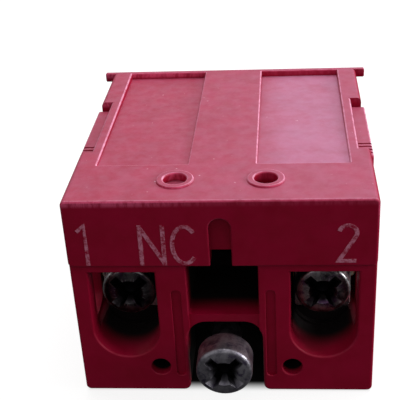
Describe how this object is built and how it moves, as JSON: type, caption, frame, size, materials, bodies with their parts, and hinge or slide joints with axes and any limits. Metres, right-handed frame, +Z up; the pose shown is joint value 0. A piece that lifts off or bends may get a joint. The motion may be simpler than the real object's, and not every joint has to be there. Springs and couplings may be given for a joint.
{
  "type": "push button contact block",
  "caption": "Red single-pole, normally closed contact block of an industrial push button, with two screw terminals, a captive fixing screw and a sprung plunger.",
  "frame": {"origin": "middle of the block's overall outline in X and Y, on the surface it stands on", "axes": "+X from terminal 1 to terminal 2, +Y from the terminal side to the operator side, +Z up"},
  "size_m": [0.0364, 0.0472, 0.0262],
  "materials": {
    "red_moulding": "moulded thermoplastic, fine matt, dusty and rubbed on its edges",
    "red_cover": "moulded thermoplastic, fine matt",
    "plunger_moulding": "black moulded thermoplastic, satin",
    "spring_wire": "drawn stainless wire",
    "copper_strip": "stamped copper alloy",
    "silver_tip": "silver alloy rivet",
    "brass_strip": "stamped and bent brass",
    "terminal_screw": "dark plated steel, worn on its edges",
    "zinc_steel": "zinc plated steel",
    "fixing_screw": "dark plated steel, worn on its edges",
    "nylon_ring": "natural nylon"
  },
  "bodies": {
    "base": {"housing": "red_moulding", "rear_cover": "red_cover", "fixed_contact_1": "brass_strip", "fixed_contact_2": "brass_strip", "fixed_tip_1": "silver_tip", "fixed_tip_2": "silver_tip", "terminal_nut_1": "zinc_steel", "terminal_nut_2": "zinc_steel", "return_spring": "spring_wire"},
    "plunger": {"plunger": "plunger_moulding", "contact_spring": "spring_wire"},
    "bridge": {"contact_bridge": "copper_strip", "bridge_tip_1": "silver_tip", "bridge_tip_2": "silver_tip"},
    "clamp_1": {"clamp_plate_1": "zinc_steel"},
    "clamp_screw_1": {"terminal_screw_1": "terminal_screw"},
    "clamp_2": {"clamp_plate_2": "zinc_steel"},
    "clamp_screw_2": {"terminal_screw_2": "terminal_screw"},
    "retainer": {"screw_retainer": "nylon_ring"},
    "fixing_screw": {"fixing_screw": "fixing_screw"}
  },
  "joints": [
    {"name": "plunger_press", "type": "slide", "parent": "base", "child": "plunger", "axis": [0, -1, 0], "range_m": [0, 0.0042], "stiffness_N_per_m": 600, "springref_m": -0.0025, "deforming": ["return_spring", "contact_spring"]},
    {"name": "bridge_travel", "type": "slide", "parent": "base", "child": "bridge", "axis": [0, -1, 0], "range_m": [0, 0.0034]},
    {"name": "clamp_1_lift", "type": "slide", "parent": "base", "child": "clamp_1", "axis": [0, -1, 0], "range_m": [0, 0.003]},
    {"name": "screw_1_turn", "type": "hinge", "parent": "clamp_1", "child": "clamp_screw_1", "pos_m": [-0.0113, -0.0162, 0.0116], "axis": [0, -1, 0], "range_deg": [0, 1800]},
    {"name": "clamp_2_lift", "type": "slide", "parent": "base", "child": "clamp_2", "axis": [0, -1, 0], "range_m": [0, 0.003]},
    {"name": "screw_2_turn", "type": "hinge", "parent": "clamp_2", "child": "clamp_screw_2", "pos_m": [0.0113, -0.0162, 0.0116], "axis": [0, -1, 0], "range_deg": [0, 1800]},
    {"name": "fixing_screw_slide", "type": "slide", "parent": "base", "child": "retainer", "axis": [0, 1, 0], "range_m": [0, 0.00795]},
    {"name": "fixing_screw_turn", "type": "hinge", "parent": "retainer", "child": "fixing_screw", "pos_m": [0, -0.0236, 0.0056], "axis": [0, 1, 0], "continuous": true}
  ],
  "couplings": [
    {"joint": "bridge_travel", "follows": "plunger_press", "ratio": 0.8095},
    {"joint": "screw_1_turn", "follows": "clamp_1_lift", "rad_per_m": 10472},
    {"joint": "screw_2_turn", "follows": "clamp_2_lift", "rad_per_m": 10472}
  ]
}
